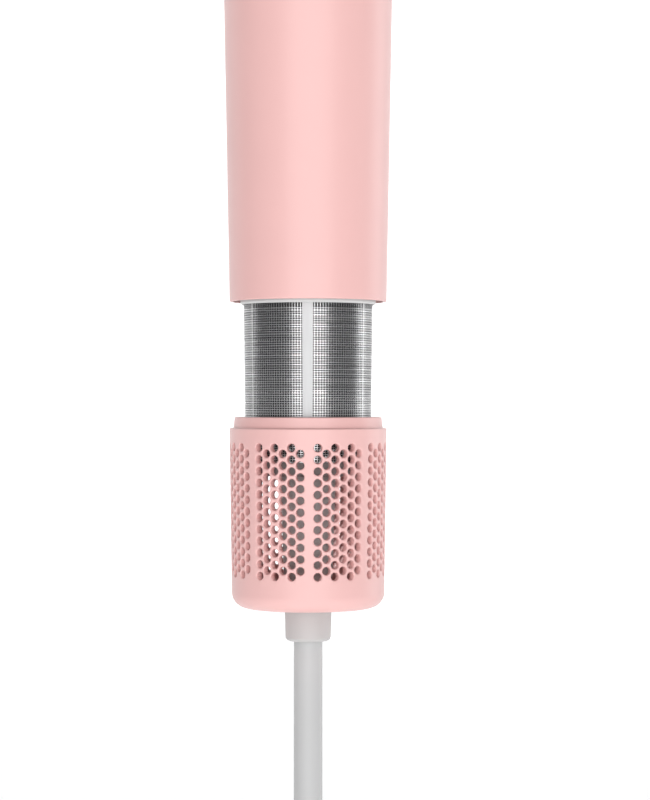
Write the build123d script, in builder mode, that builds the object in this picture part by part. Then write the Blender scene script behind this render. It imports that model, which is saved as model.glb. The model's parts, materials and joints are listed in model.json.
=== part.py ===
"""Hot air brush: a hand-held styler with a pull-down filter cover and a round brush head.

Millimetres, +Z up along the handle's axis, -Y towards the thumb and the controls. The origin
is the middle of the grip. The filter cover is drawn pulled down, so that the mesh filter
shows, and the mains cord hangs straight down from its swivel to a tied hank and the plug.
"""

import math
import os

from build123d import *

os.makedirs("parts", exist_ok=True)

# --- driving dimensions -------------------------------------------------------------------
RIM_Z = -80.0  # lower edge of the handle, below the middle of the grip
RIM_R = 20.0
SLOPE = 0.0183  # growth of the handle's radius with height
CONE_HEIGHT = 120.0  # above this the cone eases into a cylinder
SHELL_HEIGHT = 185.0
SHELL_WALL = 1.8
COVER_OPEN = 31.95  # how far the cover is drawn below its closed place
COVER_HEIGHT = 45.6
CORD_R = 3.65
RUNNING_GAP = 0.02  # radial clearance of a shaft in its bearing
SEAT_GAP = 0.05  # assembly clearance between parts that seat on each other

CONE_TOP_Z = RIM_Z + CONE_HEIGHT
CONE_TOP_R = RIM_R + SLOPE * CONE_HEIGHT
SHELL_TOP_Z = RIM_Z + SHELL_HEIGHT
EASING_HEIGHT = SHELL_HEIGHT - CONE_HEIGHT
SHELL_TOP_R = CONE_TOP_R + SLOPE * EASING_HEIGHT / 2

nodes = {}  # finished pieces by name, in the order they are written


def body_r(z):
    """Outside radius of the handle at a height."""
    eased = max(0.0, z - CONE_TOP_Z)
    return RIM_R + SLOPE * (z - RIM_Z - eased**2 / (2 * EASING_HEIGHT))


def ring(outer_r, inner_r, low, high):
    """A plain round sleeve about the long axis."""
    with BuildPart() as sleeve:
        with BuildSketch(Plane.XY.offset(low)):
            Circle(outer_r)
            Circle(inner_r, mode=Mode.SUBTRACT)
        extrude(amount=high - low)
    return sleeve


def turned(*outline):
    """A solid of revolution about the long axis, from its half section as (radius, height) points."""
    with BuildPart() as piece:
        with BuildSketch(Plane.XZ):
            with BuildLine():
                Polyline(*outline, close=True)
            make_face()
        revolve(axis=Axis.Z)
    return piece


def shell_section(thickness):
    """Half section of the handle's wall, measured inwards from its outside, as a sketch."""
    with BuildSketch(Plane.XZ) as section:
        with BuildLine():
            Line((RIM_R, RIM_Z), (CONE_TOP_R, CONE_TOP_Z))
            TangentArc((CONE_TOP_R, CONE_TOP_Z), (SHELL_TOP_R, SHELL_TOP_Z), tangent=(SLOPE, 1))
            Line((SHELL_TOP_R, SHELL_TOP_Z), (SHELL_TOP_R - thickness, SHELL_TOP_Z))
            Line((SHELL_TOP_R - thickness, SHELL_TOP_Z), (CONE_TOP_R - thickness, CONE_TOP_Z))
            Line((CONE_TOP_R - thickness, CONE_TOP_Z), (RIM_R - thickness, RIM_Z))
            Line((RIM_R - thickness, RIM_Z), (RIM_R, RIM_Z))
        make_face()
    return section


# --- handle shell and control panel -------------------------------------------------------
LIP_RECESS_R = 19.15  # the cover's lip goes up inside the rim
LIP_RECESS_DEPTH = 3.4
PANEL_Z = 47.0
PANEL_HEIGHT = 62.0
PANEL_WIDTH = 15.0
PANEL_GAP = 0.12
PANEL_WALL = 1.6
SLIDER_Z = PANEL_Z - 19.0  # the slider's place when switched off
SLIDER_TRAVEL = 8.0
SLIDER_WIDTH = 8.4
SLIDER_HEIGHT = 14.0
STEM_WIDTH = 3.0
STEM_HEIGHT = 5.0
COOL_Z = PANEL_Z + 9.0
HEAT_Z = PANEL_Z + 20.2
BUTTON_R = 4.2
BUTTON_GAP = 0.25
BUTTON_PROUD = 0.9
FLANGE_R = 5.3
FLANGE_WALL = 0.5
FLANGE_BACK_Y = 19.4
LENS_R = 0.9
LENS_HEIGHTS = [PANEL_Z + 2.4 * step for step in range(-1, 2)]
BOARD_FRONT_Y = 17.2  # distance in front of the axis
BOARD_WALL = 1.2
POST_X = 5.0
POST_STEP_Z = PANEL_HEIGHT - 11.0
POST_LENGTH = 2.95
SCREW_R = 0.85

with BuildPart() as handle_shell:
    add(shell_section(SHELL_WALL).sketch)
    revolve(axis=Axis.Z)
    with BuildSketch(Plane.XY.offset(RIM_Z)):
        Circle(LIP_RECESS_R)
    extrude(amount=LIP_RECESS_DEPTH, mode=Mode.SUBTRACT)
    rim_edges = handle_shell.edges().filter_by(GeomType.CIRCLE).group_by(Axis.Z)[0]
    fillet(rim_edges.sort_by(SortBy.RADIUS)[-1], radius=0.3)
    with BuildSketch(Plane.XZ):
        with Locations((0, PANEL_Z)):
            SlotOverall(PANEL_HEIGHT, PANEL_WIDTH, rotation=90)
    extrude(amount=2 * SHELL_TOP_R, mode=Mode.SUBTRACT)
nodes["handle_shell"] = handle_shell

with BuildPart() as control_panel:
    add(shell_section(PANEL_WALL).sketch)
    revolve(axis=Axis.Z)
    with BuildSketch(Plane.XZ):
        with Locations((0, PANEL_Z)):
            SlotOverall(PANEL_HEIGHT - 2 * PANEL_GAP, PANEL_WIDTH - 2 * PANEL_GAP, rotation=90)
    extrude(amount=2 * SHELL_TOP_R, mode=Mode.INTERSECT)
    with BuildSketch(Plane.XZ.offset(BOARD_FRONT_Y + SEAT_GAP)):
        with Locations((0, PANEL_Z)):
            with GridLocations(2 * POST_X, POST_STEP_Z, 2, 2):
                Circle(1.7)
    extrude(amount=POST_LENGTH)
    with BuildSketch(Plane.XZ):
        with Locations((0, PANEL_Z)):
            with GridLocations(2 * POST_X, POST_STEP_Z, 2, 2):
                Circle(SCREW_R + RUNNING_GAP)
    extrude(amount=BOARD_FRONT_Y + 2.3, mode=Mode.SUBTRACT)
    with BuildSketch(Plane.XZ):
        with Locations((0, SLIDER_Z + SLIDER_TRAVEL / 2)):
            SlotOverall(STEM_HEIGHT + SLIDER_TRAVEL + 2.2, STEM_WIDTH + 0.8, rotation=90)
        with Locations((0, COOL_Z), (0, HEAT_Z)):
            Circle(BUTTON_R + BUTTON_GAP)
        with Locations(*[(0, z) for z in LENS_HEIGHTS]):
            Circle(LENS_R)
    extrude(amount=2 * SHELL_TOP_R, mode=Mode.SUBTRACT)
nodes["control_panel"] = control_panel

slider_seat_y = body_r(SLIDER_Z + SLIDER_TRAVEL + SLIDER_HEIGHT / 2) + 0.15
with BuildPart() as switch_slider:
    with BuildSketch(Plane.XZ.offset(slider_seat_y)):
        with Locations((0, SLIDER_Z)):
            SlotOverall(SLIDER_HEIGHT, SLIDER_WIDTH, rotation=90)
    extrude(amount=1.9)
    fillet(switch_slider.faces().sort_by(Axis.Y)[0].edges(), radius=0.7)
    with BuildSketch(Plane.XZ.offset(slider_seat_y + 1.4)):
        with Locations((0, SLIDER_Z)):
            with GridLocations(0, 1.8, 1, 5):
                Rectangle(5.0, 0.7)
    extrude(amount=1.0, mode=Mode.SUBTRACT)
    with BuildSketch(Plane.XZ.offset(slider_seat_y)):
        with Locations((0, SLIDER_Z)):
            SlotOverall(STEM_HEIGHT, STEM_WIDTH, rotation=90)
    extrude(amount=-3.3)
nodes["switch_slider"] = switch_slider


def push_button(z):
    """A round cap through the panel, with a retaining flange and a short plunger behind it."""
    with BuildPart() as button:
        with BuildSketch(Plane.XZ.offset(FLANGE_BACK_Y)):
            with Locations((0, z)):
                Circle(BUTTON_R)
        extrude(amount=body_r(z) + BUTTON_PROUD - FLANGE_BACK_Y)
        fillet(button.edges().group_by(Axis.Y)[0], radius=0.6)
        with BuildSketch(Plane.XZ.offset(FLANGE_BACK_Y)):
            with Locations((0, z)):
                Circle(FLANGE_R)
        extrude(amount=FLANGE_WALL)
        with BuildSketch(Plane.XZ.offset(FLANGE_BACK_Y)):
            with Locations((0, z)):
                Circle(1.5)
        extrude(amount=-0.45)
    return button


nodes["cool_button"] = push_button(COOL_Z)
nodes["heat_button"] = push_button(HEAT_Z)

with BuildPart() as indicator_lights:
    with BuildSketch(Plane.XZ.offset(BOARD_FRONT_Y + SEAT_GAP)):
        with Locations(*[(0, z) for z in LENS_HEIGHTS]):
            Circle(LENS_R - RUNNING_GAP)
    extrude(amount=body_r(PANEL_Z) + 0.1 - BOARD_FRONT_Y - SEAT_GAP)
nodes["indicator_lights"] = indicator_lights

with BuildPart() as control_board:
    with BuildSketch(Plane.XZ.offset(BOARD_FRONT_Y)):
        with Locations((0, PANEL_Z)):
            RectangleRounded(15.0, PANEL_HEIGHT, 1.0)
            with GridLocations(2 * POST_X, POST_STEP_Z, 2, 2):
                Circle(1.05, mode=Mode.SUBTRACT)
    extrude(amount=-BOARD_WALL)
nodes["control_board"] = control_board

with BuildPart() as board_switches:
    with BuildSketch(Plane.XZ.offset(BOARD_FRONT_Y + SEAT_GAP)):
        with Locations((0, COOL_Z), (0, HEAT_Z)):
            RectangleRounded(6.0, 6.0, 0.4)
    extrude(amount=0.5)
    with BuildSketch(Plane.XZ.offset(BOARD_FRONT_Y + SEAT_GAP)):
        with Locations((0, COOL_Z), (0, HEAT_Z)):
            Circle(1.7)
    extrude(amount=1.0)
nodes["board_switches"] = board_switches

with BuildPart() as power_switch:
    with BuildSketch(Plane.XZ.offset(BOARD_FRONT_Y + SEAT_GAP)):
        with Locations((0, SLIDER_Z + SLIDER_TRAVEL / 2)):
            RectangleRounded(8.0, 16.0, 0.5)
    extrude(amount=1.3)
nodes["power_switch"] = power_switch

with BuildPart() as board_screws:
    with BuildSketch(Plane.XZ.offset(BOARD_FRONT_Y - BOARD_WALL - SEAT_GAP)):
        with Locations((0, PANEL_Z)):
            with GridLocations(2 * POST_X, POST_STEP_Z, 2, 2):
                Circle(1.6)
    extrude(amount=-0.9)
    with BuildSketch(Plane.XZ.offset(BOARD_FRONT_Y - BOARD_WALL - SEAT_GAP)):
        with Locations((0, PANEL_Z)):
            with GridLocations(2 * POST_X, POST_STEP_Z, 2, 2):
                Circle(SCREW_R)
    extrude(amount=BOARD_WALL + 2.2)
nodes["board_screws"] = board_screws

# --- inlet filter, fixed below the handle -------------------------------------------------
COLLAR_R = 17.3
COLLAR_BELOW_RIM = 0.8
MESH_TOP_R = 16.45
MESH_BASE_R = 15.9
MESH_WALL = 0.35
MESH_BASE_Z = RIM_Z - 40.5
CAP_BASE_Z = MESH_BASE_Z - 3.5
RIB_COUNT = 6
RIB_OUTER_R = 15.4
RIB_INNER_R = 13.6
CAP_BORE_R = 7.3
CAP_SCREW_CIRCLE_R = 12.6
CAP_SCREW_HEAD_R = 1.8
CAP_SCREW_HEAD_HEIGHT = 1.1
collar_base_z = RIM_Z - COLLAR_BELOW_RIM
flange_base_z = RIM_Z + LIP_RECESS_DEPTH + 0.1

with BuildPart() as filter_frame:
    with BuildSketch(Plane.XZ):
        with BuildLine():
            Polyline(
                (MESH_TOP_R + 0.2, collar_base_z),
                (COLLAR_R - 0.4, collar_base_z),
                (COLLAR_R, collar_base_z + 0.5),
                (COLLAR_R, flange_base_z),
                (RIM_R - SHELL_WALL - SEAT_GAP, flange_base_z),
                (RIM_R - SHELL_WALL - SEAT_GAP, flange_base_z + 2.2),
                (RIB_INNER_R, flange_base_z + 2.2),
                (RIB_INNER_R, flange_base_z),
                (MESH_TOP_R + 0.2, flange_base_z),
                close=True,
            )
        make_face()
        with Locations(((RIB_OUTER_R + RIB_INNER_R) / 2, MESH_BASE_Z + 1.5)):
            Rectangle(RIB_OUTER_R - RIB_INNER_R, 3.0)
    revolve(axis=Axis.Z)
    with BuildSketch(Plane.XY.offset(MESH_BASE_Z)):
        with PolarLocations((RIB_OUTER_R + RIB_INNER_R) / 2, RIB_COUNT, start_angle=90):
            Rectangle(RIB_OUTER_R - RIB_INNER_R, 1.8)
        with PolarLocations(CAP_SCREW_CIRCLE_R, 3, start_angle=30):
            Circle(1.9)
    extrude(amount=5.0)
    with BuildSketch(Plane.XY.offset(MESH_BASE_Z)):
        with PolarLocations((RIB_OUTER_R + RIB_INNER_R) / 2, RIB_COUNT, start_angle=90):
            Rectangle(RIB_OUTER_R - RIB_INNER_R, 1.8)
    extrude(amount=flange_base_z - MESH_BASE_Z + 1.0)
    with BuildSketch(Plane.XY.offset(MESH_BASE_Z)):
        with PolarLocations(CAP_SCREW_CIRCLE_R, 3, start_angle=30):
            Circle(SCREW_R + RUNNING_GAP)
    extrude(amount=4.0, mode=Mode.SUBTRACT)
nodes["filter_frame"] = filter_frame

nodes["filter_mesh"] = turned(
    (MESH_TOP_R, flange_base_z - SEAT_GAP),
    (MESH_BASE_R, MESH_BASE_Z),
    (MESH_BASE_R - MESH_WALL, MESH_BASE_Z),
    (MESH_TOP_R - MESH_WALL, flange_base_z - SEAT_GAP),
)

with BuildPart() as mesh_seam_strip:
    with BuildSketch(Plane.XZ):
        with BuildLine():
            Polyline(
                (MESH_TOP_R + 0.02, collar_base_z - SEAT_GAP),
                (MESH_BASE_R + 0.02, MESH_BASE_Z),
                (MESH_BASE_R + 0.3, MESH_BASE_Z),
                (MESH_TOP_R + 0.3, collar_base_z - SEAT_GAP),
                close=True,
            )
        make_face()
    revolve(axis=Axis.Z)
    with BuildSketch(Plane.XZ):
        with BuildLine():
            Polyline(
                (-1.15, MESH_BASE_Z), (1.15, MESH_BASE_Z), (1.35, RIM_Z), (-1.35, RIM_Z), close=True
            )
        make_face()
    extrude(amount=RIM_R, mode=Mode.INTERSECT)
nodes["mesh_seam_strip"] = mesh_seam_strip

with BuildPart() as filter_end_cap:
    with BuildSketch(Plane.XY.offset(CAP_BASE_Z)):
        Circle(MESH_BASE_R + 0.3)
        Circle(CAP_BORE_R, mode=Mode.SUBTRACT)
        with PolarLocations(CAP_SCREW_CIRCLE_R, 3, start_angle=30):
            Circle(1.1, mode=Mode.SUBTRACT)
    extrude(amount=MESH_BASE_Z - SEAT_GAP - CAP_BASE_Z)
    with BuildSketch(Plane.XY.offset(CAP_BASE_Z)):
        with PolarLocations(CAP_SCREW_CIRCLE_R, 3, start_angle=30):
            Circle(CAP_SCREW_HEAD_R + 0.15)
    extrude(amount=CAP_SCREW_HEAD_HEIGHT + 0.15, mode=Mode.SUBTRACT)
    fillet(filter_end_cap.edges().group_by(Axis.Z)[0].sort_by(SortBy.RADIUS)[-1], radius=0.8)
nodes["filter_end_cap"] = filter_end_cap

with BuildPart() as end_cap_screws:
    with BuildSketch(Plane.XY.offset(CAP_BASE_Z + 0.1)):
        with PolarLocations(CAP_SCREW_CIRCLE_R, 3, start_angle=30):
            Circle(CAP_SCREW_HEAD_R)
    extrude(amount=CAP_SCREW_HEAD_HEIGHT)
    with BuildSketch(Plane.XY.offset(CAP_BASE_Z + 0.1)):
        with PolarLocations(CAP_SCREW_CIRCLE_R, 3, start_angle=30):
            Circle(SCREW_R)
    extrude(amount=7.0)
nodes["end_cap_screws"] = end_cap_screws

# --- cord swivel: the strain relief turns in the end cap and feeds two slip rings -----------
BOOT_R = 7.0
BOOT_NECK_R = 6.0
BOOT_SHOULDER_R = 5.97
BOOT_TIP_R = 5.75
BOOT_TIP_Z = RIM_Z - 86.25
BOOT_HEAD_R = 9.0
BOOT_HEAD_Z = MESH_BASE_Z + 2.5
BOOT_HEAD_WALL = 2.0
RING_TRACKS = [3.0, 6.4]  # inner radius of each slip ring
RING_WIDTH = 1.8
cap_top_z = MESH_BASE_Z - SEAT_GAP
cover_base_z = RIM_Z - 0.15 - COVER_OPEN - COVER_HEIGHT
boot_top_z = BOOT_HEAD_Z + BOOT_HEAD_WALL

with BuildPart() as strain_relief:
    with BuildSketch(Plane.XZ):
        with BuildLine():
            Polyline(
                (0, boot_top_z),
                (BOOT_HEAD_R, boot_top_z),
                (BOOT_HEAD_R, BOOT_HEAD_Z),
                (BOOT_NECK_R, BOOT_HEAD_Z),
                (BOOT_NECK_R, CAP_BASE_Z - 0.3),
                (BOOT_R, CAP_BASE_Z - 0.3),
                (BOOT_SHOULDER_R, cover_base_z),
                (BOOT_TIP_R, BOOT_TIP_Z),
                (0, BOOT_TIP_Z),
                close=True,
            )
        make_face()
    revolve(axis=Axis.Z)
    fillet(strain_relief.edges().group_by(Axis.Z)[0], radius=1.1)
nodes["strain_relief"] = strain_relief

bush_base_z = cap_top_z + SEAT_GAP
bush_top_z = BOOT_HEAD_Z - SEAT_GAP
nodes["swivel_bush"] = ring(BOOT_HEAD_R + 1.5, BOOT_NECK_R + RUNNING_GAP, bush_base_z, bush_top_z)

with BuildPart() as slip_rings:
    with BuildSketch(Plane.XY.offset(boot_top_z)):
        for track in RING_TRACKS:
            Circle(track + RING_WIDTH)
            Circle(track, mode=Mode.SUBTRACT)
    extrude(amount=0.6)
nodes["slip_rings"] = slip_rings

CARRIER_Z = boot_top_z + 4.0
CARRIER_WALL = 2.5
CARRIER_R = RIB_INNER_R - SEAT_GAP
WIRE_R = 0.9
WIRE_X = 2.6
WIRE_START_Y = 7.0
WIRE_RUN_R = 16.7  # the leads pass the motor close to the back of the shell

with BuildPart() as contact_carrier:
    with BuildSketch(Plane.XY.offset(CARRIER_Z)):
        Circle(8.5)
        with PolarLocations(CARRIER_R / 2, RIB_COUNT // 2, start_angle=90):
            Rectangle(CARRIER_R, 3.0)
    extrude(amount=CARRIER_WALL)
nodes["contact_carrier"] = contact_carrier

with BuildPart() as contact_springs:
    for side, track in zip((-1, 1), RING_TRACKS):
        contact_y = side * (track + RING_WIDTH / 2)
        with BuildSketch(Plane.YZ.offset(-0.8)):
            with BuildLine():
                Polyline(
                    (contact_y - 0.8, boot_top_z + 0.65),
                    (contact_y + 0.8, boot_top_z + 0.65),
                    (contact_y + 0.8, CARRIER_Z - 0.01),
                    (contact_y - 0.8, CARRIER_Z - 0.01),
                    close=True,
                )
            make_face()
            with BuildLine():
                Polyline(
                    (contact_y - 0.5, boot_top_z + 0.95),
                    (contact_y + 0.81, boot_top_z + 0.95),
                    (contact_y + 0.81, CARRIER_Z - 0.31),
                    (contact_y - 0.5, CARRIER_Z - 0.31),
                    close=True,
                )
            make_face(mode=Mode.SUBTRACT)
        extrude(amount=1.6)
nodes["contact_springs"] = contact_springs

# --- fan motor ----------------------------------------------------------------------------
HOUSING_R = 15.4
HOUSING_WALL = 0.8
HOUSING_BASE_Z = RIM_Z + 22.0
HOUSING_TOP_Z = RIM_Z + 74.0
HUB_R = 10.0
HUB_WALL = 1.0
HUB_BASE_Z = HOUSING_BASE_Z + 16.0
HUB_TOP_Z = HOUSING_TOP_Z - 5.0
SHAFT_R = 1.5
BEARING_R = 4.0
BEARING_WIDTH = 3.5
BOSS_WALL = 1.5
STATOR_BASE_Z = HUB_BASE_Z + 7.5
STATOR_HEIGHT = 14.0
MAGNET_R = 4.3
STATOR_BORE_R = 4.8
YOKE_R = 7.4
housing_bore_r = HOUSING_R - HOUSING_WALL
hub_bore_r = HUB_R - HUB_WALL
lower_bearing_z = HUB_BASE_Z + 0.8
upper_bearing_z = HUB_TOP_Z - 0.8 - BEARING_WIDTH

nodes["motor_housing"] = turned(
    (housing_bore_r + 0.5, HOUSING_BASE_Z - 1.5),
    (housing_bore_r + 0.9, HOUSING_BASE_Z - 1.5),
    (HOUSING_R, HOUSING_BASE_Z),
    (HOUSING_R, HOUSING_TOP_Z),
    (housing_bore_r, HOUSING_TOP_Z),
    (housing_bore_r, HOUSING_BASE_Z),
)

with BuildPart() as diffuser:
    with BuildSketch(Plane.XY.offset(HUB_BASE_Z)):
        Circle(HUB_R)
        Circle(hub_bore_r, mode=Mode.SUBTRACT)
    extrude(amount=HUB_TOP_Z - HUB_BASE_Z)
    with BuildSketch(Plane.XY.offset(HUB_BASE_Z)):
        Circle(hub_bore_r)
        Circle(BEARING_R + SEAT_GAP, mode=Mode.SUBTRACT)
    extrude(amount=1.5)
    with BuildSketch(Plane.XY.offset(HUB_BASE_Z)):
        Circle(BEARING_R + BOSS_WALL)
        Circle(BEARING_R + SEAT_GAP, mode=Mode.SUBTRACT)
    extrude(amount=BEARING_WIDTH + 1.5)
    with BuildSketch(Plane.XY.offset(HUB_BASE_Z + 1.0)):
        with PolarLocations((HUB_R + housing_bore_r) / 2 - 0.15, 11):
            Rectangle(housing_bore_r - HUB_R + 0.2, 0.8)
    extrude(amount=14.0)
nodes["diffuser"] = diffuser

nodes["hub_cap"] = turned(
    (hub_bore_r - SEAT_GAP, HUB_TOP_Z),
    (hub_bore_r - SEAT_GAP, HUB_TOP_Z - 1.5),
    (BEARING_R + BOSS_WALL, HUB_TOP_Z - 1.5),
    (BEARING_R + BOSS_WALL, HUB_TOP_Z - 1.5 - BEARING_WIDTH),
    (BEARING_R + SEAT_GAP, HUB_TOP_Z - 1.5 - BEARING_WIDTH),
    (BEARING_R + SEAT_GAP, HUB_TOP_Z),
)
for name, base_z in [("lower_bearing", lower_bearing_z), ("upper_bearing", upper_bearing_z)]:
    nodes[name] = ring(BEARING_R, SHAFT_R + RUNNING_GAP, base_z, base_z + BEARING_WIDTH)

with BuildPart() as motor_stator:
    with BuildSketch(Plane.XY.offset(STATOR_BASE_Z)):
        Circle(hub_bore_r - SEAT_GAP)
        Circle(YOKE_R, mode=Mode.SUBTRACT)
        with PolarLocations((STATOR_BORE_R + YOKE_R) / 2 + 0.2, 4):
            Rectangle(YOKE_R - STATOR_BORE_R, 2.6)
        Circle(STATOR_BORE_R, mode=Mode.SUBTRACT)
    extrude(amount=STATOR_HEIGHT)
nodes["motor_stator"] = motor_stator

with BuildPart() as motor_windings:
    for tooth_plane in [Plane.YZ.rotated((0, 0, 90 * quarter)).offset(5.3) for quarter in range(4)]:
        with BuildSketch(tooth_plane):
            with Locations((0, STATOR_BASE_Z + STATOR_HEIGHT / 2)):
                RectangleRounded(5.6, STATOR_HEIGHT + 3.4, 1.2)
                Rectangle(2.8, STATOR_HEIGHT + 0.2, mode=Mode.SUBTRACT)
        extrude(amount=1.3)
nodes["motor_windings"] = motor_windings

IMPELLER_BASE_Z = HOUSING_BASE_Z + 1.0
IMPELLER_TOP_Z = HUB_BASE_Z - 1.5
with BuildPart() as impeller:
    with BuildSketch(Plane.XZ):
        with BuildLine():
            Polyline(
                (SHAFT_R, IMPELLER_BASE_Z),
                (3.2, IMPELLER_BASE_Z),
                (9.6, IMPELLER_TOP_Z - 1.0),
                (9.6, IMPELLER_TOP_Z),
                (SHAFT_R, IMPELLER_TOP_Z),
                close=True,
            )
        make_face()
    revolve(axis=Axis.Z)
    blade_height = IMPELLER_TOP_Z - IMPELLER_BASE_Z - 4.0
    blade_planes = [Plane.YZ.rotated((0, 0, 40 * turn)).offset(8.6) for turn in range(9)]
    for blade_plane in blade_planes:
        with BuildSketch(blade_plane):
            with Locations((0, IMPELLER_TOP_Z - 1.2 - blade_height / 2)):
                Rectangle(0.9, blade_height, rotation=-32)
        extrude(amount=5.2)
nodes["impeller"] = impeller
nodes["rotor_shaft"] = ring(SHAFT_R, 0.4, IMPELLER_BASE_Z - 0.5, HUB_TOP_Z - 0.2)
nodes["rotor_magnet"] = ring(MAGNET_R, SHAFT_R, STATOR_BASE_Z - 0.5, STATOR_BASE_Z + STATOR_HEIGHT + 0.5)


def rubber_mount(low, height):
    """A soft ring between the motor housing and the shell, notched at the back for the leads."""
    with BuildPart() as mount:
        with BuildSketch(Plane.XY.offset(low)):
            Circle(body_r(low) - SHELL_WALL - 0.1)
            Circle(HOUSING_R + SEAT_GAP, mode=Mode.SUBTRACT)
            with Locations((0, WIRE_RUN_R)):
                Rectangle(8.0, 8.0, mode=Mode.SUBTRACT)
        extrude(amount=height)
    return mount


nodes["motor_mount_lower"] = rubber_mount(HOUSING_BASE_Z + 4.0, 5.0)
nodes["motor_mount_upper"] = rubber_mount(HOUSING_TOP_Z - 10.0, 5.0)

# --- heater duct --------------------------------------------------------------------------
DUCT_TOP_Z = SHELL_TOP_Z - 5.0
DUCT_WALL = 0.9
SLEEVE_R = 14.3
SLEEVE_WALL = 0.5
HEATER_BASE_Z = 18.0
HEATER_TOP_Z = 84.0
COIL_R = 12.6
COIL_WIRE_R = 0.35
COIL_PITCH = 6.0
CARD_WALL = 0.8

nodes["air_duct"] = ring(HOUSING_R, HOUSING_R - DUCT_WALL, HOUSING_TOP_Z + 0.2, DUCT_TOP_Z)
nodes["heater_sleeve"] = ring(SLEEVE_R, SLEEVE_R - SLEEVE_WALL, HEATER_BASE_Z - 4.0, HEATER_TOP_Z + 4.0)

with BuildPart() as heater_frame:
    with BuildSketch(Plane.XY.offset(HEATER_BASE_Z)):
        Rectangle(2 * (COIL_R - COIL_WIRE_R - 0.1), CARD_WALL)
        Rectangle(CARD_WALL, 2 * (COIL_R - COIL_WIRE_R - 0.1))
    extrude(amount=HEATER_TOP_Z - HEATER_BASE_Z)
nodes["heater_frame"] = heater_frame

with BuildPart() as heater_coil:
    with BuildLine():
        Helix(pitch=COIL_PITCH, height=8 * COIL_PITCH, radius=COIL_R, center=(0, 0, HEATER_BASE_Z + 8.0))
    with BuildSketch(Plane(origin=(COIL_R, 0, HEATER_BASE_Z + 8.0), z_dir=(0, 1, 0))):
        Circle(COIL_WIRE_R)
    sweep(is_frenet=True)
nodes["heater_coil"] = heater_coil

with BuildPart() as thermostat:
    with BuildSketch(Plane.XY.offset(60.0)):
        with Locations((4.6, 4.6)):
            Circle(3.6)
    extrude(amount=2.5)
    with BuildSketch(Plane.XY.offset(62.5)):
        with Locations((4.6, 4.6)):
            Circle(2.4)
    extrude(amount=1.5)
nodes["thermostat"] = thermostat

with BuildPart() as thermal_fuse:
    with BuildSketch(Plane.XY.offset(40.0)):
        with Locations((-3.0, 3.0)):
            Circle(1.6)
    extrude(amount=11.0)
    with BuildSketch(Plane.XY.offset(32.0)):
        with Locations((-3.0, 3.0)):
            Circle(0.4)
    extrude(amount=27.0)
nodes["thermal_fuse"] = thermal_fuse

# --- mains board and leads at the back ------------------------------------------------------
MAINS_BOARD_Y = 15.9
MAINS_BOARD_TOP_Z = 58.0
with BuildPart() as mains_board:
    with BuildSketch(Plane.XZ.offset(-MAINS_BOARD_Y)):
        with Locations((0, MAINS_BOARD_TOP_Z / 2)):
            RectangleRounded(13.0, MAINS_BOARD_TOP_Z, 1.0)
    extrude(amount=-BOARD_WALL)
nodes["mains_board"] = mains_board

with BuildPart() as board_components:
    with BuildSketch(Plane.XZ.offset(-MAINS_BOARD_Y - BOARD_WALL - SEAT_GAP)):
        with Locations((0, 12.0)):
            Rectangle(8.0, 9.0)
        with Locations((-2.5, 26.0), (2.5, 26.0)):
            Circle(1.9)
        with Locations((0, 42.0)):
            Rectangle(7.0, 11.0)
    extrude(amount=-1.6)
nodes["board_components"] = board_components

with BuildPart() as lead_wires:
    for side in (-1, 1):
        with BuildLine():
            FilletPolyline(
                (side * WIRE_X, WIRE_START_Y, CARRIER_Z + CARRIER_WALL),
                (side * WIRE_X, WIRE_START_Y, RIM_Z + 3.0),
                (side * WIRE_X, WIRE_RUN_R, RIM_Z + 17.0),
                (side * WIRE_X, WIRE_RUN_R, -SEAT_GAP),
                radius=8.0,
            )
        with BuildSketch(Plane.XY.offset(CARRIER_Z + CARRIER_WALL)):
            with Locations((side * WIRE_X, WIRE_START_Y)):
                Circle(WIRE_R)
        sweep()
nodes["lead_wires"] = lead_wires

# --- nozzle: the brush head slides over it --------------------------------------------------
NOZZLE_R = 17.0
NOZZLE_BORE_R = 15.6
NOZZLE_TOP_Z = SHELL_TOP_Z + 17.0
TRIM_HEIGHT = 2.6
TRIM_R = SHELL_TOP_R - 0.15
MAGNET_CIRCLE_R = 19.8
MAGNET_DISC_R = 1.5
MAGNET_DISC_HEIGHT = 1.6
trim_top_z = SHELL_TOP_Z + SEAT_GAP + TRIM_HEIGHT

nodes["nozzle_socket"] = turned(
    (NOZZLE_BORE_R, SHELL_TOP_Z - 12.0),
    (NOZZLE_R, SHELL_TOP_Z - 12.0),
    (NOZZLE_R, SHELL_TOP_Z - 4.0),
    (SHELL_TOP_R - SHELL_WALL - 0.15, SHELL_TOP_Z - 4.0),
    (SHELL_TOP_R - SHELL_WALL - 0.15, SHELL_TOP_Z - 0.5),
    (NOZZLE_R, SHELL_TOP_Z - 0.5),
    (NOZZLE_R, NOZZLE_TOP_Z - 1.0),
    (NOZZLE_R - 0.6, NOZZLE_TOP_Z),
    (NOZZLE_BORE_R, NOZZLE_TOP_Z),
)

with BuildPart() as outlet_grille:
    with BuildSketch(Plane.XY.offset(DUCT_TOP_Z + 0.2)):
        Circle(NOZZLE_BORE_R - SEAT_GAP)
        for inner, outer in ((3.4, 6.6), (7.8, 10.6), (11.8, 14.2)):
            Circle(outer, mode=Mode.SUBTRACT)
            Circle(inner)
        with PolarLocations(0, 3):
            Rectangle(2 * (NOZZLE_BORE_R - 1.0), 1.2)
    extrude(amount=1.6)
nodes["outlet_grille"] = outlet_grille

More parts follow.
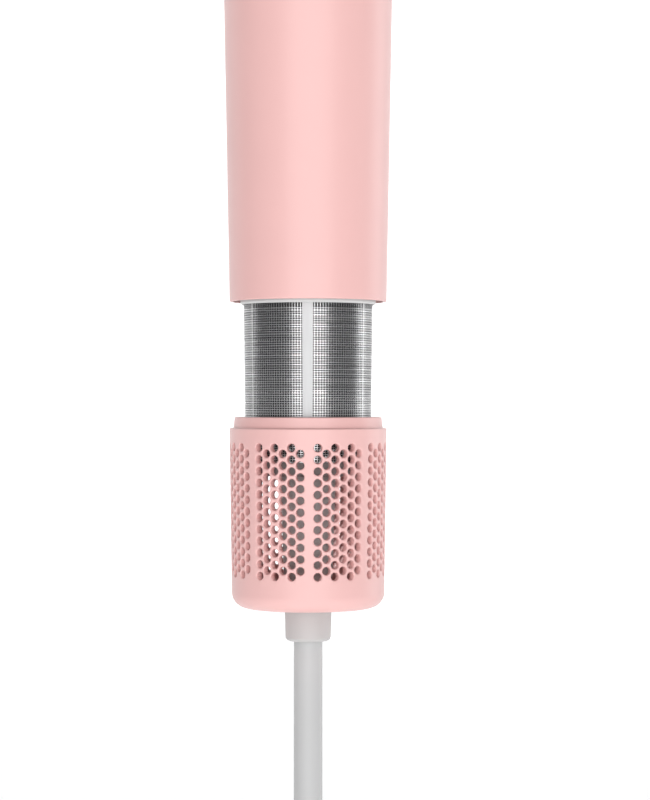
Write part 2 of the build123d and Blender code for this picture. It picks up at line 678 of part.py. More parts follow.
with BuildPart() as trim_ring:
    with BuildSketch(Plane.XY.offset(SHELL_TOP_Z + SEAT_GAP)):
        Circle(TRIM_R)
        Circle(NOZZLE_R + SEAT_GAP, mode=Mode.SUBTRACT)
    extrude(amount=TRIM_HEIGHT)
    chamfer(trim_ring.edges().filter_by(GeomType.CIRCLE).sort_by(SortBy.RADIUS)[-2:], length=0.3)
    with BuildSketch(Plane.XY.offset(trim_top_z - MAGNET_DISC_HEIGHT)):
        with PolarLocations(MAGNET_CIRCLE_R, 4, start_angle=45):
            Circle(MAGNET_DISC_R + RUNNING_GAP)
    extrude(amount=MAGNET_DISC_HEIGHT, mode=Mode.SUBTRACT)
nodes["trim_ring"] = trim_ring

with BuildPart() as coupling_magnets:
    with BuildSketch(Plane.XY.offset(trim_top_z - MAGNET_DISC_HEIGHT)):
        with PolarLocations(MAGNET_CIRCLE_R, 4, start_angle=45):
            Circle(MAGNET_DISC_R)
    extrude(amount=MAGNET_DISC_HEIGHT - 0.05)
nodes["coupling_magnets"] = coupling_magnets

# --- brush head -----------------------------------------------------------------------------
BASE_Z = trim_top_z + 0.3
BASE_HEIGHT = 22.0
BASE_BORE_R = NOZZLE_R + 0.3
BARREL_R = 17.0
BARREL_WALL = 0.9
BARREL_TOP_Z = BASE_Z + 128.0
BRISTLE_ROWS = 8
BRISTLE_LENGTH = 6.5
BRISTLES_PER_ROW = 16
BRISTLE_PITCH = 6.2
STRIP_WIDTH = 3.2
TIP_HEIGHT = 24.0
base_top_z = BASE_Z + BASE_HEIGHT

with BuildPart() as brush_base:
    with BuildSketch(Plane.XZ):
        with BuildLine():
            Polyline(
                (BASE_BORE_R, BASE_Z),
                (SHELL_TOP_R - 0.2, BASE_Z),
                (SHELL_TOP_R - 0.2, BASE_Z + 8.0),
                (BARREL_R + 2.4, base_top_z),
                (BARREL_R + 0.05, base_top_z),
                (BARREL_R + 0.05, base_top_z - 4.0),
                (BASE_BORE_R - 2.0, base_top_z - 4.0),
                (BASE_BORE_R - 2.0, base_top_z - 6.0),
                (BASE_BORE_R, base_top_z - 6.0),
                close=True,
            )
        make_face()
        with Locations((19.8, BASE_Z + 0.4)):
            Rectangle(3.3, 0.8, mode=Mode.SUBTRACT)
        with Locations((BASE_BORE_R, BASE_Z + 6.0)):
            Rectangle(2.4, 1.8, mode=Mode.SUBTRACT)
    revolve(axis=Axis.Z)
nodes["brush_base"] = brush_base
nodes["keeper_ring"] = ring(21.4, 18.2, BASE_Z + 0.02, BASE_Z + 0.78)
nodes["seal_ring"] = ring(BASE_BORE_R + 1.15, NOZZLE_R + 0.12, BASE_Z + 5.2, BASE_Z + 6.8)

strip_base_z = base_top_z + 3.0
strip_height = BRISTLES_PER_ROW * BRISTLE_PITCH + 2.0
with BuildPart() as brush_barrel:
    with BuildSketch(Plane.XY.offset(base_top_z - 3.9)):
        Circle(BARREL_R)
        Circle(BARREL_R - BARREL_WALL, mode=Mode.SUBTRACT)
    extrude(amount=BARREL_TOP_Z - base_top_z + 3.9)
    for row in range(BRISTLE_ROWS // 2):
        strip_plane = Plane.XZ.rotated((0, 0, 360 / BRISTLE_ROWS * row))
        vent_plane = Plane.XZ.rotated((0, 0, 360 / BRISTLE_ROWS * (row + 0.5)))
        with BuildSketch(strip_plane):
            with Locations((0, strip_base_z + strip_height / 2)):
                RectangleRounded(STRIP_WIDTH + 0.2, strip_height + 0.2, 0.8)
        extrude(amount=2 * BARREL_R, both=True, mode=Mode.SUBTRACT)
        with BuildSketch(vent_plane):
            with Locations((0, strip_base_z + strip_height / 2)):
                with GridLocations(0, 12.2, 1, 8):
                    SlotOverall(8.5, 2.6, rotation=90)
        extrude(amount=2 * BARREL_R, both=True, mode=Mode.SUBTRACT)
nodes["brush_barrel"] = brush_barrel

with BuildPart() as bristle_strips:
    for row in range(BRISTLE_ROWS):
        row_plane = Plane.XZ.rotated((0, 0, 360 / BRISTLE_ROWS * row))
        with BuildSketch(row_plane.offset(BARREL_R - BARREL_WALL)):
            with Locations((0, strip_base_z + strip_height / 2)):
                RectangleRounded(STRIP_WIDTH, strip_height, 0.7)
        extrude(amount=1.5)
        with BuildSketch(row_plane.offset(BARREL_R)):
            with Locations((0, strip_base_z + strip_height / 2)):
                with GridLocations(0, BRISTLE_PITCH, 1, BRISTLES_PER_ROW):
                    Circle(0.6)
        extrude(amount=BRISTLE_LENGTH)
nodes["bristle_strips"] = bristle_strips

nodes["air_guide"] = turned(
    (0, BARREL_TOP_Z - 1.0),
    (0, base_top_z + 6.0),
    (2.5, base_top_z + 6.0),
    (BARREL_R - BARREL_WALL - 2.0, BARREL_TOP_Z - 6.0),
    (BARREL_R - BARREL_WALL - 0.1, BARREL_TOP_Z - 3.0),
    (BARREL_R - BARREL_WALL - 0.1, BARREL_TOP_Z - 1.0),
)

with BuildPart() as brush_tip:
    with BuildSketch(Plane.XZ):
        with BuildLine():
            Line((0, BARREL_TOP_Z), (BARREL_R + 1.2, BARREL_TOP_Z))
            Line((BARREL_R + 1.2, BARREL_TOP_Z), (BARREL_R + 1.2, BARREL_TOP_Z + 3.0))
            Line((BARREL_R + 1.2, BARREL_TOP_Z + 3.0), (BARREL_R - 2.0, BARREL_TOP_Z + 15.0))
            Spline(
                (BARREL_R - 2.0, BARREL_TOP_Z + 15.0),
                (0, BARREL_TOP_Z + TIP_HEIGHT),
                tangents=[(-3.2, 12.0), (-1, 0)],
            )
            Line((0, BARREL_TOP_Z + TIP_HEIGHT), (0, BARREL_TOP_Z))
        make_face()
    revolve(axis=Axis.Z)
    with BuildSketch(Plane.XY.offset(BARREL_TOP_Z)):
        Circle(SCREW_R + 0.4 + RUNNING_GAP)
    extrude(amount=10.0, mode=Mode.SUBTRACT)
nodes["brush_tip"] = brush_tip

with BuildPart(Plane.XY.offset(BARREL_TOP_Z - 0.98)) as tip_screw:
    Cylinder(SCREW_R + 0.4, 9.0, align=(Align.CENTER, Align.CENTER, Align.MIN))
nodes["tip_screw"] = tip_screw

# --- filter cover, drawn down ---------------------------------------------------------------
COVER_TOP_R = 20.0
COVER_BASE_R = 19.42
COVER_WALL = 2.1
COVER_CORNER_R = 3.9
COVER_FLOOR = 1.4
COVER_INNER_CORNER_R = 1.8
LIP_HEIGHT = 2.8
LIP_TOP_R = 18.73
LIP_BASE_R = 18.98
LIP_BORE_R = 17.65
COVER_BORE_R = 7.6
VENT_GROUPS = 8
VENT_COLUMNS = 6
VENT_COLUMN_DEG = 6.45
VENT_DEG = 5.4
VENT_SLOTS = 3
VENT_SLOT_HEIGHT = 10.4
VENT_SLOT_PITCH = 11.75
VENT_FIRST = 3.65  # below the shoulder
VENT_TURN = 1.1  # the vent groups sit this many degrees round from the middle of the front
shoulder_z = RIM_Z - 0.15 - COVER_OPEN
floor_z = cover_base_z + COVER_FLOOR
inner_r = COVER_BASE_R - COVER_WALL
vent_angles = []
for group in range(VENT_GROUPS):
    group_angle = 360 / VENT_GROUPS * (group + 0.5) - 90 + VENT_TURN
    for column in range(VENT_COLUMNS):
        column_angle = VENT_COLUMN_DEG * (column - (VENT_COLUMNS - 1) / 2)
        vent_angles.append(group_angle + column_angle - VENT_DEG / 2)
first_slot_z = shoulder_z - VENT_FIRST - VENT_SLOT_HEIGHT / 2
slot_centres = [(COVER_TOP_R - 1.0, first_slot_z - VENT_SLOT_PITCH * slot) for slot in range(VENT_SLOTS)]

with BuildPart() as filter_cover:
    with BuildSketch(Plane.XZ):
        with BuildLine():
            Line((LIP_BORE_R, shoulder_z + LIP_HEIGHT), (LIP_TOP_R, shoulder_z + LIP_HEIGHT))
            Line((LIP_TOP_R, shoulder_z + LIP_HEIGHT), (LIP_BASE_R, shoulder_z))
            Line((LIP_BASE_R, shoulder_z), (COVER_TOP_R, shoulder_z))
            Line((COVER_TOP_R, shoulder_z), (COVER_BASE_R, cover_base_z + COVER_CORNER_R))
            RadiusArc(
                (COVER_BASE_R, cover_base_z + COVER_CORNER_R),
                (COVER_BASE_R - COVER_CORNER_R, cover_base_z),
                COVER_CORNER_R,
            )
            Line((COVER_BASE_R - COVER_CORNER_R, cover_base_z), (COVER_BORE_R, cover_base_z))
            Line((COVER_BORE_R, cover_base_z), (COVER_BORE_R, floor_z))
            Line((COVER_BORE_R, floor_z), (inner_r - COVER_INNER_CORNER_R, floor_z))
            RadiusArc(
                (inner_r - COVER_INNER_CORNER_R, floor_z),
                (inner_r, floor_z + COVER_INNER_CORNER_R),
                -COVER_INNER_CORNER_R,
            )
            Line(
                (inner_r, floor_z + COVER_INNER_CORNER_R),
                (LIP_BORE_R, shoulder_z + LIP_HEIGHT),
            )
        make_face()
    revolve(axis=Axis.Z)
    with BuildSketch(*[Plane.XZ.rotated((0, 0, angle)) for angle in vent_angles]):
        with Locations(*slot_centres):
            Rectangle(5.0, VENT_SLOT_HEIGHT)
    revolve(axis=Axis.Z, revolution_arc=VENT_DEG, mode=Mode.SUBTRACT)
nodes["filter_cover"] = filter_cover

# --- mains cord, put-away hank, tie and plug ------------------------------------------------
HANK_TOP_Z = RIM_Z - 142.0
HANK_HEIGHT = 176.4
FOLD_R = 33.4  # outside radius of the outer turn's folds
WAIST_HALF_WIDTH = 4 * CORD_R
WAIST_HALF_HEIGHT = 6.0
HANK_DEPTH = 8 * CORD_R
HANK_Y = 3 * CORD_R  # the hank hangs behind the run that comes down in front of it
FOLD_FLAT = 0.3
TIE_WALL = 1.6
TIE_HEIGHT = 10.0
TAIL_Y = 2 * HANK_Y
TAIL_LENGTH = 14.0
hank_mid_z = HANK_TOP_Z - HANK_HEIGHT / 2
fold_z = HANK_HEIGHT / 2 + FOLD_FLAT - FOLD_R

with BuildPart() as cord_tube:
    with BuildSketch(Plane.XY.offset(HANK_TOP_Z)):
        Circle(CORD_R)
    extrude(amount=BOOT_TIP_Z - HANK_TOP_Z)
nodes["cord_tube"] = cord_tube

waist_angle = math.atan2(fold_z - WAIST_HALF_HEIGHT, WAIST_HALF_WIDTH)
waist_distance = math.hypot(fold_z - WAIST_HALF_HEIGHT, WAIST_HALF_WIDTH)
tangent_angle = waist_angle - math.acos(FOLD_R / waist_distance)
tangent_point = (FOLD_R * math.cos(tangent_angle), fold_z - FOLD_R * math.sin(tangent_angle))
with BuildPart() as cord_hank:
    with BuildSketch(Plane.XZ.offset(-HANK_Y)):
        with Locations((0, hank_mid_z)):
            with Locations((0, -fold_z), (0, fold_z)):
                Circle(FOLD_R)
            Polygon(
                (WAIST_HALF_WIDTH, WAIST_HALF_HEIGHT),
                tangent_point,
                (-tangent_point[0], tangent_point[1]),
                (-WAIST_HALF_WIDTH, WAIST_HALF_HEIGHT),
                (-WAIST_HALF_WIDTH, -WAIST_HALF_HEIGHT),
                (-tangent_point[0], -tangent_point[1]),
                (tangent_point[0], -tangent_point[1]),
                (WAIST_HALF_WIDTH, -WAIST_HALF_HEIGHT),
                align=None,
            )
            Rectangle(3 * FOLD_R, HANK_HEIGHT, mode=Mode.INTERSECT)
    extrude(amount=HANK_DEPTH / 2, both=True)
nodes["cord_hank"] = cord_hank

with BuildPart() as cord_tie:
    with BuildSketch(Plane.XY.offset(hank_mid_z - TIE_HEIGHT / 2)):
        with Locations((0, HANK_Y)):
            Rectangle(2 * WAIST_HALF_WIDTH + 2 * TIE_WALL, HANK_DEPTH + 2 * TIE_WALL)
            Rectangle(2 * WAIST_HALF_WIDTH + 0.1, HANK_DEPTH + 0.1, mode=Mode.SUBTRACT)
    extrude(amount=TIE_HEIGHT)
nodes["cord_tie"] = cord_tie

tail_top_z = HANK_TOP_Z - HANK_HEIGHT
plug_top_z = tail_top_z - TAIL_LENGTH
with BuildPart() as cord_tail:
    with BuildSketch(Plane.XY.offset(plug_top_z)):
        with Locations((0, TAIL_Y)):
            Circle(CORD_R)
    extrude(amount=TAIL_LENGTH)
nodes["cord_tail"] = cord_tail

PLUG_NECK_HEIGHT = 26.0
PLUG_GRIP_HEIGHT = 18.0
PLUG_FACE_R = 17.6
PLUG_FLAT = 25.6  # across the two flats beside the pins
PIN_R = 2.4
PIN_PITCH = 19.0
PIN_LENGTH = 19.0
PIN_ROOT = 6.0  # the part held in the plug
PIN_ROOT_R = 2.0
plug_face_z = plug_top_z - PLUG_NECK_HEIGHT - PLUG_GRIP_HEIGHT

with BuildPart() as plug_body:
    with BuildSketch(Plane.XY.offset(plug_face_z)):
        with Locations((0, TAIL_Y)):
            Circle(PLUG_FACE_R)
            Rectangle(3 * PLUG_FACE_R, PLUG_FLAT, mode=Mode.INTERSECT)
    extrude(amount=PLUG_GRIP_HEIGHT)
    fillet(plug_body.edges().group_by(Axis.Z)[0], radius=1.0)
    with BuildSketch(Plane.XY.offset(plug_face_z + PLUG_GRIP_HEIGHT)):
        with Locations((0, TAIL_Y)):
            Circle(PLUG_FLAT / 2 - 0.6)
    with BuildSketch(Plane.XY.offset(plug_top_z)):
        with Locations((0, TAIL_Y)):
            Circle(5.2)
    loft()
    with BuildSketch(Plane.XY.offset(plug_face_z)):
        with Locations((0, TAIL_Y)):
            with GridLocations(PIN_PITCH, 0, 2, 1):
                Circle(PIN_ROOT_R)
    extrude(amount=PIN_ROOT, mode=Mode.SUBTRACT)
nodes["plug_body"] = plug_body

with BuildPart() as plug_pins:
    with BuildSketch(Plane.XY.offset(plug_face_z)):
        with Locations((0, TAIL_Y)):
            with GridLocations(PIN_PITCH, 0, 2, 1):
                Circle(PIN_R)
    extrude(amount=-PIN_LENGTH)
    fillet(plug_pins.edges().group_by(Axis.Z)[0], radius=1.6)
    with BuildSketch(Plane.XY.offset(plug_face_z)):
        with Locations((0, TAIL_Y)):
            with GridLocations(PIN_PITCH, 0, 2, 1):
                Circle(PIN_ROOT_R)
    extrude(amount=PIN_ROOT)
nodes["plug_pins"] = plug_pins

# --- write the parts ------------------------------------------------------------------------
for name, piece in nodes.items():
    piece.part.label = name
    export_step(piece.part, f"parts/{name}.step")

print(f"{len(nodes)} parts, cord {BOOT_TIP_Z:.2f} to {HANK_TOP_Z:.2f}, plug face at {plug_face_z:.2f}")
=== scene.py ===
"""Looks of the hot air brush: fine meshes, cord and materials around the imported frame.

The frame's boxes, the camera, the stage and the lights are in metres. The sizes of the pieces made here are
in millimetres, and new_piece turns them into metres. +Z runs up the handle and -Y is the front.
"""
import json
import math

import bpy
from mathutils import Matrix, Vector
from mathutils.geometry import delaunay_2d_cdt


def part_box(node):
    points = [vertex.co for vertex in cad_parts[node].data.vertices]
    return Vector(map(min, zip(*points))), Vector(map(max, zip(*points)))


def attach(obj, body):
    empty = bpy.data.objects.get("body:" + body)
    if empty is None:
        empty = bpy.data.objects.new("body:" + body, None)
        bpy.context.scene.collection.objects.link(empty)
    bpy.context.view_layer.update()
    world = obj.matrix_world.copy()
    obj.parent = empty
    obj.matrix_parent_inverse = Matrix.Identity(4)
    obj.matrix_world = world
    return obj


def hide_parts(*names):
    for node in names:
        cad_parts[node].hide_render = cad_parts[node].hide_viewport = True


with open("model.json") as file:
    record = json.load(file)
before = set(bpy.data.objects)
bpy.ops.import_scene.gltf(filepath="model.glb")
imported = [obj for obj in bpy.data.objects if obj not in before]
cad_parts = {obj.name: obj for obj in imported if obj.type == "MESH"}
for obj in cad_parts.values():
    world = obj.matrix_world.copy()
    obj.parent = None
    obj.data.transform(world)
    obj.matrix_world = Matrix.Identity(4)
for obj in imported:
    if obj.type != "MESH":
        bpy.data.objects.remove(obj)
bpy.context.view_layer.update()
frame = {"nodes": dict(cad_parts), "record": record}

MM = 0.001
TURN = 2 * math.pi

# --- places taken from the frame ------------------------------------------------------------
shell_low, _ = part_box("handle_shell")
cover_low, cover_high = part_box("filter_cover")
mesh_low, mesh_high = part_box("filter_mesh")
boot_low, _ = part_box("strain_relief")
hank_low, hank_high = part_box("cord_hank")
tail_low, tail_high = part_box("cord_tail")
tie_low, tie_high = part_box("cord_tie")
plug_low, plug_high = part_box("plug_body")
pins_low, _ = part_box("plug_pins")
strip_low, strip_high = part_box("bristle_strips")
rim_z = shell_low.z

# --- camera ---------------------------------------------------------------------------------
VIEW_HEIGHT = 203.8 * MM  # what the picture spans, measured at the handle's axis
VIEW_DISTANCE = 560.0 * MM
VIEW_BELOW_RIM = 25.0 * MM
VIEW_ASIDE = 4.3 * MM
FILM_SIZE = 36.0  # along the picture's height

camera_data = bpy.data.cameras.new("camera")
camera_data.sensor_width = FILM_SIZE
camera_data.lens = FILM_SIZE * VIEW_DISTANCE / VIEW_HEIGHT
camera = bpy.data.objects.new("camera", camera_data)
camera.location = (VIEW_ASIDE, -VIEW_DISTANCE, rim_z - VIEW_BELOW_RIM)
camera.rotation_euler = (math.pi / 2, 0, 0)
bpy.context.collection.objects.link(camera)
bpy.context.scene.camera = camera


# --- materials ------------------------------------------------------------------------------
NOISE_LOW = 0.3  # most of a noise texture's values lie between these two
NOISE_HIGH = 0.7
GRAIN_DETAIL = 3.0
GLOSS_SPREAD = 0.1  # how far roughness strays to each side, as a part of it
WAVE_SCALE = 0.3  # a wave texture's scale times the pitch of its bands
THREAD_WAVER = 0.4
THREAD_RELIEF = 0.0002


def new_material(name):
    """A material with its own Principled shader, texture coordinates and node tree."""
    material = bpy.data.materials.new(name)
    material.use_nodes = True
    shader = material.node_tree.nodes["Principled BSDF"]
    place = material.node_tree.nodes.new("ShaderNodeTexCoord")
    return material, shader, place.outputs["Object"]


def noise(material, place, size, detail=2.0, stretch=(1, 1, 1)):
    """Noise whose features are about size metres across, longer along a stretched axis."""
    tree = material.node_tree
    mapping = tree.nodes.new("ShaderNodeMapping")
    mapping.inputs["Scale"].default_value = [1 / (size * s) for s in stretch]
    texture = tree.nodes.new("ShaderNodeTexNoise")
    texture.inputs["Scale"].default_value = 1.0
    texture.inputs["Detail"].default_value = detail
    tree.links.new(place, mapping.inputs["Vector"])
    tree.links.new(mapping.outputs["Vector"], texture.inputs["Vector"])
    return texture.outputs["Fac"]


def spread(material, factor, low, high):
    """A noise factor turned into a number between low and high."""
    tree = material.node_tree
    node = tree.nodes.new("ShaderNodeMapRange")
    node.inputs["From Min"].default_value = NOISE_LOW
    node.inputs["From Max"].default_value = NOISE_HIGH
    node.inputs["To Min"].default_value = low
    node.inputs["To Max"].default_value = high
    tree.links.new(factor, node.inputs["Value"])
    return node.outputs["Result"]


def tint(material, factor, first, second):
    """A colour between two, by a noise factor."""
    tree = material.node_tree
    node = tree.nodes.new("ShaderNodeMix")
    node.data_type = "RGBA"
    node.inputs["A"].default_value = (*first, 1)
    node.inputs["B"].default_value = (*second, 1)
    tree.links.new(spread(material, factor, 0.0, 1.0), node.inputs["Factor"])
    return node.outputs["Result"]


def bump(material, shader, height, depth):
    """Surface relief of the given depth in metres."""
    tree = material.node_tree
    node = tree.nodes.new("ShaderNodeBump")
    node.inputs["Strength"].default_value = 1.0
    node.inputs["Distance"].default_value = depth
    tree.links.new(height, node.inputs["Height"])
    tree.links.new(node.outputs["Normal"], shader.inputs["Normal"])


def surface(name, colour, roughness, grain=0.0004, relief=0.000004, shade=0.04, metallic=0.0,
            stretch=(1, 1, 1), cloud=0.018, **constants):
    """A moulded or metal surface: cloudy colour, uneven gloss and a fine grain, with sizes in metres."""
    material, shader, place = new_material(name)
    links = material.node_tree.links
    patches = noise(material, place, cloud, stretch=stretch)
    darker = [channel * (1 - shade) for channel in colour]
    links.new(tint(material, patches, darker, colour), shader.inputs["Base Color"])
    fine = noise(material, place, grain, GRAIN_DETAIL, stretch)
    gloss = spread(material, fine, roughness * (1 - GLOSS_SPREAD), roughness * (1 + GLOSS_SPREAD))
    links.new(gloss, shader.inputs["Roughness"])
    bump(material, shader, fine, relief)
    shader.inputs["Metallic"].default_value = metallic
    for socket, value in constants.items():
        shader.inputs[socket.replace("_", " ")].default_value = value
    return material


def woven(name, first, second, pitch):
    """A narrow woven strap: two crossing sets of threads."""
    material, shader, place = new_material(name)
    tree = material.node_tree
    threads = []
    for direction in ("X", "Z"):
        wave = tree.nodes.new("ShaderNodeTexWave")
        wave.bands_direction = direction
        wave.inputs["Scale"].default_value = WAVE_SCALE / pitch
        wave.inputs["Distortion"].default_value = THREAD_WAVER
        tree.links.new(place, wave.inputs["Vector"])
        threads.append(wave.outputs["Fac"])
    crossing = tree.nodes.new("ShaderNodeMath")
    crossing.operation = "MULTIPLY"
    for thread, socket in zip(threads, crossing.inputs):
        tree.links.new(thread, socket)
    tree.links.new(tint(material, crossing.outputs[0], first, second), shader.inputs["Base Color"])
    bump(material, shader, crossing.outputs[0], THREAD_RELIEF)
    shader.inputs["Roughness"].default_value = 0.9
    shader.inputs["Sheen Weight"].default_value = 0.3
    return material


PINK = (0.82, 0.49, 0.47)
looks = {
    "pink_shell": surface("pink_shell", PINK, 0.38, shade=0.02, Coat_Weight=0.08),
    "panel_pink": surface("panel_pink", (0.80, 0.47, 0.44), 0.30, shade=0.02),
    "control_grey": surface("control_grey", (0.70, 0.69, 0.68), 0.45),
    "light_pipe": surface("light_pipe", (0.90, 0.90, 0.84), 0.25, Transmission_Weight=0.4),
    "white_frame": surface("white_frame", (0.64, 0.64, 0.635), 0.40),
    # painted reflection: the steel's colour is streaked in fine horizontal bands, darker and lighter,
    # standing in for streaks the bars reflect
    "mesh_steel": surface("mesh_steel", (0.78, 0.78, 0.785), 0.27, relief=0.0000001, shade=0.4, metallic=1.0,
                          stretch=(80, 80, 1), cloud=0.0009),
    "cap_grey": surface("cap_grey", (0.33, 0.33, 0.33), 0.45),
    "zinc_screw": surface("zinc_screw", (0.60, 0.60, 0.62), 0.35, metallic=1.0),
    "circuit_board": surface("circuit_board", (0.02, 0.12, 0.05), 0.30),
    "component_black": surface("component_black", (0.02, 0.02, 0.02), 0.45),
    "motor_plastic": surface("motor_plastic", (0.04, 0.04, 0.045), 0.45),
    "bearing_steel": surface("bearing_steel", (0.65, 0.65, 0.67), 0.18, metallic=1.0),
    "stator_steel": surface("stator_steel", (0.22, 0.22, 0.23), 0.45, metallic=1.0, stretch=(30, 30, 1)),
    "copper": surface("copper", (0.55, 0.20, 0.08), 0.30, metallic=1.0, stretch=(1, 1, 20)),
    "contact_brass": surface("contact_brass", (0.72, 0.50, 0.20), 0.25, metallic=1.0),
    "mount_rubber": surface("mount_rubber", (0.02, 0.02, 0.02), 0.75),
    "duct_mica": surface("duct_mica", (0.36, 0.28, 0.18), 0.55, grain=0.002, shade=0.25),
    "duct_plastic": surface("duct_plastic", (0.07, 0.07, 0.075), 0.50),
    "heater_wire": surface("heater_wire", (0.25, 0.22, 0.20), 0.50, metallic=1.0),
    "wire_insulation": surface("wire_insulation", (0.75, 0.75, 0.74), 0.45),
    "trim_metal": surface("trim_metal", (0.80, 0.55, 0.48), 0.28, metallic=1.0, stretch=(20, 20, 1)),
    "barrel_metal": surface("barrel_metal", (0.72, 0.50, 0.45), 0.36, metallic=0.7),
    "bristle_nylon": surface("bristle_nylon", (0.80, 0.74, 0.71), 0.42, Subsurface_Weight=0.1),
    "boot_grey": surface("boot_grey", (0.54, 0.525, 0.52), 0.50),
    "cord_grey": surface("cord_grey", (0.53, 0.53, 0.53), 0.46, grain=0.0007),
    "tie_grey": woven("tie_grey", (0.08, 0.08, 0.085), (0.22, 0.22, 0.23), 0.0009),
    "pin_nickel": surface("pin_nickel", (0.68, 0.65, 0.60), 0.22, metallic=1.0, stretch=(1, 1, 12)),
}
for part in frame["record"]["subparts"]:
    node = frame["nodes"][part["node"]]
    for holder in node.material_slots:
        holder.material = looks[part["material_slot"]]
SEAM_STEEL = surface("seam_steel", (0.58, 0.58, 0.585), 0.55, metallic=0.5, stretch=(1, 1, 20))
frame["nodes"]["mesh_seam_strip"].material_slots[0].material = SEAM_STEEL


# --- mesh helpers ---------------------------------------------------------------------------
FACE_WEIGHT = 80  # how much broad faces rule the normals, where 50 is even
WELD_DIGITS = 4  # decimals that two vertices share when they are one


def new_piece(name, body, slot, verts, faces, *replaced):
    """A smooth mesh piece that rides on a body and wears the look of a material slot."""
    mesh = bpy.data.meshes.new(name)
    mesh.from_pydata([Vector(v) * MM for v in verts], [], faces)
    mesh.validate()
    mesh.shade_smooth()
    piece = bpy.data.objects.new(name, mesh)
    bpy.context.collection.objects.link(piece)
    mesh.materials.append(looks[slot])
    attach(piece, body)
    if replaced:
        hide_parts(*replaced)
    return piece


def weigh_normals(piece):
    """Keeps broad faces flat to the eye beside narrow bevels."""
    modifier = piece.modifiers.new("normals", "WEIGHTED_NORMAL")
    modifier.weight = FACE_WEIGHT
    modifier.keep_sharp = True


class Welder:
    """Collects vertices and faces, and joins vertices that fall in one place."""

    def __init__(self):
        self.verts = []
        self.faces = []
        self.known = {}

    def vertex(self, point):
        key = tuple(round(value, WELD_DIGITS) for value in point)
        if key not in self.known:
            self.known[key] = len(self.verts)
            self.verts.append(point)
        return self.known[key]

    def face(self, points):
        corners = []
        for point in points:
            corner = self.vertex(point)
            if corner not in corners:
                corners.append(corner)
        if len(corners) > 2:
            self.faces.append(corners)


def around(radius, angle, z):
    """A point at an angle about the handle's axis; angle 0 is at the front."""
    return (radius * math.sin(angle), -radius * math.cos(angle), z)


def lathe(welder, profile, steps, start=0.0):
    """Turns a profile of (radius, z) about the axis.

    With the radius drawn to the right and z up, the surface faces right of the way the profile goes.
    """
    for index in range(steps):
        a = start + TURN * index / steps
        b = start + TURN * (index + 1) / steps
        for (r0, z0), (r1, z1) in zip(profile, profile[1:]):
            welder.face([around(r0, a, z0), around(r0, b, z0), around(r1, b, z1), around(r1, a, z1)])


def corner(centre, radius, start_deg, end_deg, steps=5):
    """Points round a corner of a profile or outline, as pairs."""
    angles = [math.radians(start_deg + (end_deg - start_deg) * i / steps) for i in range(steps + 1)]
    return [(centre[0] + radius * math.cos(a), centre[1] + radius * math.sin(a)) for a in angles]


# --- filter cover ---------------------------------------------------------------------------
LIP_HEIGHT = 2.8
LIP_TOP_R = 18.73
LIP_BASE_R = 18.98
LIP_BORE_R = 17.65
COVER_TOP_R = 20.0
COVER_BASE_R = 19.42
COVER_WALL = 2.1
COVER_CORNER_R = 3.9
COVER_FLOOR = 1.4
COVER_INNER_CORNER_R = 1.8
COVER_BORE_R = 7.6
GROUPS = 8
COLUMNS = 6
COLUMN_ANGLE = math.radians(6.45)
ROWS = 12
ROW_PITCH = 2.89
FIRST_ROW = 4.7  # below the shoulder
VENT_TURN = math.radians(1.1)
HOLE_SIDES = 16
HOLE_R = 1.02
RIM_R = 1.29
BORDER_STEPS = 30  # per group
EDGE_R = 0.35  # rounding of the shoulder and the lip
SHOULDER_START = 10  # degrees, where the shoulder's rounding leaves the tapered side
BASE_CORNER_END = -8  # degrees, where the base's rounding meets it
# (out from the lip, up from the shoulder): the small hollow where the lip stands on the shoulder
LIP_FOOT = [(0.25, 0.0), (0.05, 0.08), (0.0, 0.3)]
BORE_EDGE = 0.4
BORE_EDGE_MIDDLE = 0.12
# (radius, depth): a vent's rounded edge
VENT_EDGE = [(RIM_R, 0.0), (1.20, 0.03), (1.10, 0.11), (HOLE_R, 0.30)]
SAME_POINT = 1e-6  # points of the unrolled wall nearer than this are one
VENT_MARGIN = 0.35  # no plain vertex of the wall comes nearer to a vent's rim
INSIDE_RIM = 0.97  # a triangle whose middle is inside this part of the rim's radius fills a vent


def cover_radius(z, shoulder, base):
    """Outside radius of the cover's straight side."""
    low = base + COVER_CORNER_R
    return COVER_BASE_R + (COVER_TOP_R - COVER_BASE_R) * (z - low) / (shoulder - low)


def vent_centres(shoulder):
    """Centres of one group's vents as (angle, z); every other column sits half a pitch lower."""
    for column in range(COLUMNS):
        angle = COLUMN_ANGLE * (column - (COLUMNS - 1) / 2)
        lowered = column % 2
        for row in range(ROWS - lowered):
            yield angle, shoulder - FIRST_ROW - ROW_PITCH * (row + 0.5 * lowered)


def vent_ring(angle, z, radius, scale):
    """One ring of a vent as (angle, z) pairs on the unrolled wall."""
    for side in range(HOLE_SIDES):
        turn = TURN * (side + 0.5) / HOLE_SIDES
        yield angle + radius * math.cos(turn) / scale, z + radius * math.sin(turn)


def wall_outline(half, low, high):
    """The border of one group's wall, counter-clockwise from its lower left."""
    steps = range(BORDER_STEPS)
    outline = [(-half + 2 * half * i / BORDER_STEPS, low) for i in steps]
    outline += [(half, low + (high - low) * i / BORDER_STEPS) for i in steps]
    outline += [(half - 2 * half * i / BORDER_STEPS, high) for i in steps]
    outline += [(-half, high - (high - low) * i / BORDER_STEPS) for i in steps]
    return outline


